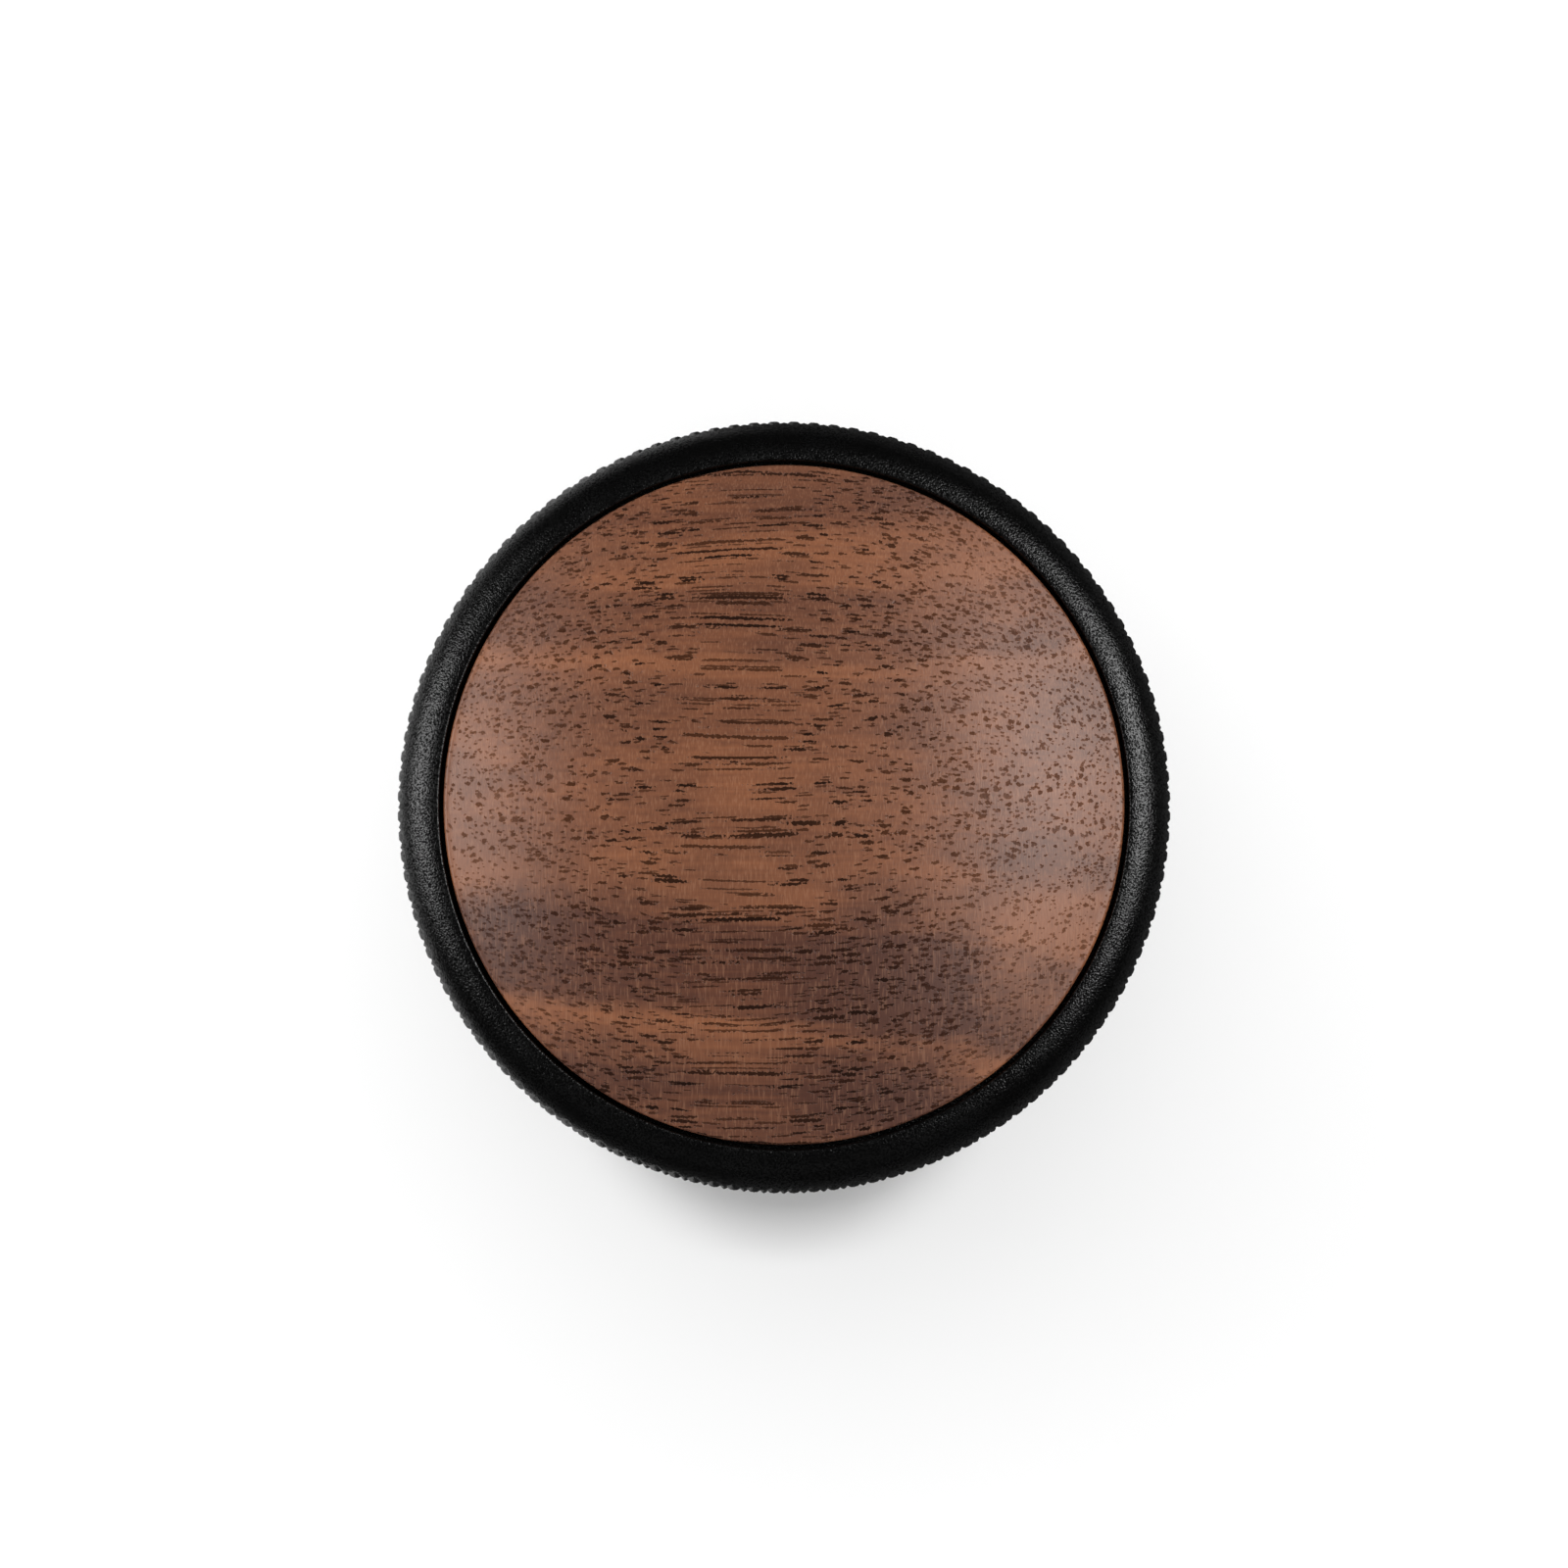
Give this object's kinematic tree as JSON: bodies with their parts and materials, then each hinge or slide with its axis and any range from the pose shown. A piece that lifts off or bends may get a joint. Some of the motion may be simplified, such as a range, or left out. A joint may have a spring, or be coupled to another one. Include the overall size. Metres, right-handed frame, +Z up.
{
  "type": "espresso tamper",
  "caption": "Spring-loaded, self-levelling palm tamper with a steel base, a sliding levelling collar and a knurled screw cap inlaid with a domed wooden disc.",
  "frame": {"origin": "middle of the tamping face, at the lowest point of the tamper", "axes": "+Z up through the middle of the cap; the two guide screws lie along X"},
  "size_m": [0.0662, 0.0662, 0.0514],
  "materials": {
    "stainless": "turned and satin polished",
    "black_anodised": "bead-blasted, black anodised",
    "spring_steel": "drawn wire, ground ends",
    "zinc_steel": "bright zinc",
    "acetal": "turned",
    "nitrile": "moulded",
    "adhesive": "film",
    "walnut": "oiled"
  },
  "bodies": {
    "base": {"tamp_base": "stainless", "guide_tube": "black_anodised", "base_bolt": "zinc_steel", "bolt_washer": "zinc_steel", "base_o_ring": "nitrile", "lower_spring_seat": "stainless", "main_spring": "spring_steel", "plunger_bush": "acetal", "gland_ring": "black_anodised", "press_bumper": "nitrile", "guide_screws": "zinc_steel", "shoulder_screws": "zinc_steel", "collar_springs": "spring_steel"},
    "collar": {"levelling_collar": "black_anodised", "collar_bush": "acetal"},
    "handle": {"plunger": "stainless", "wear_ring": "acetal", "return_cushion": "nitrile", "crown": "black_anodised", "lock_screws": "zinc_steel", "cap_o_ring": "nitrile"},
    "spring_seat": {"upper_spring_seat": "stainless", "thrust_washer": "acetal"},
    "cap": {"cap_shell": "black_anodised", "inlay_adhesive": "adhesive", "walnut_inlay": "walnut"}
  },
  "joints": [
    {"name": "handle_press", "type": "slide", "parent": "base", "child": "handle", "axis": [0, 0, -1], "range_m": [0, 0.005], "stiffness_N_per_m": 15900, "springref_m": -0.003, "deforming": ["main_spring"]},
    {"name": "collar_lift", "type": "slide", "parent": "base", "child": "collar", "axis": [0, 0, 1], "range_m": [0, 0.008], "stiffness_N_per_m": 1460, "springref_m": -0.002, "deforming": ["collar_springs"]},
    {"name": "cap_rise", "type": "slide", "parent": "handle", "child": "spring_seat", "axis": [0, 0, 1], "range_m": [0, 0.003]},
    {"name": "cap_turn", "type": "hinge", "parent": "spring_seat", "child": "cap", "pos_m": [0, 0, 0.0401], "axis": [0, 0, 1], "range_deg": [0, 1080]}
  ],
  "couplings": [
    {"joint": "cap_rise", "follows": "cap_turn", "m_per_rad": 0.00015915}
  ]
}
